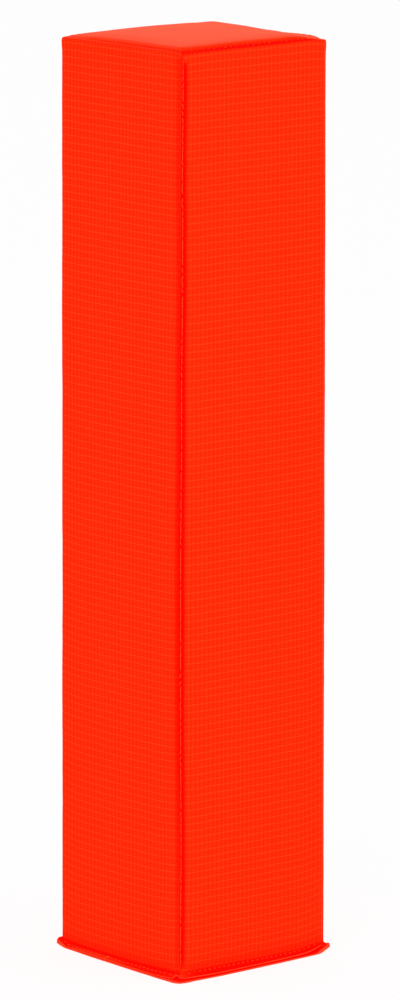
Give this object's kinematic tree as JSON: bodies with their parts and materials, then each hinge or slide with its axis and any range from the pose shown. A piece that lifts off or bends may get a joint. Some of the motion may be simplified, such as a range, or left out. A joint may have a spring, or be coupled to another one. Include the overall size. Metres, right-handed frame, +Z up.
{
  "type": "football field pylon",
  "caption": "Upright square end-zone marker: a sewn cover of coated cloth over a foam core, with a sand pouch in its flanged base to keep it standing.",
  "frame": {"origin": "on the ground, at the middle of the base panel's underside", "axes": "+Z up along the pylon; the front panel faces -Y and the right panel +X"},
  "size_m": [0.1008, 0.1008, 0.4572],
  "materials": {
    "cover_cloth": "satin",
    "base_cloth": "satin",
    "thread": "satin",
    "foam": "matte",
    "pouch_cloth": "matte",
    "sand": "matte"
  },
  "bodies": {
    "root": {"front_panel": "cover_cloth", "right_panel": "cover_cloth", "back_panel": "cover_cloth", "left_panel": "cover_cloth", "top_panel": "cover_cloth", "base_panel": "base_cloth", "corner_stitching_front_left": "thread", "corner_stitching_front_right": "thread", "corner_stitching_back_right": "thread", "corner_stitching_back_left": "thread", "top_stitching_front": "thread", "top_stitching_right": "thread", "top_stitching_back": "thread", "top_stitching_left": "thread", "base_stitching_front": "thread", "base_stitching_right": "thread", "base_stitching_back": "thread", "base_stitching_left": "thread", "foam_core": "foam", "ballast_pouch_upper": "pouch_cloth", "ballast_pouch_lower": "pouch_cloth", "ballast_pouch_stitching": "thread", "ballast_sand": "sand"}
  },
  "joints": []
}
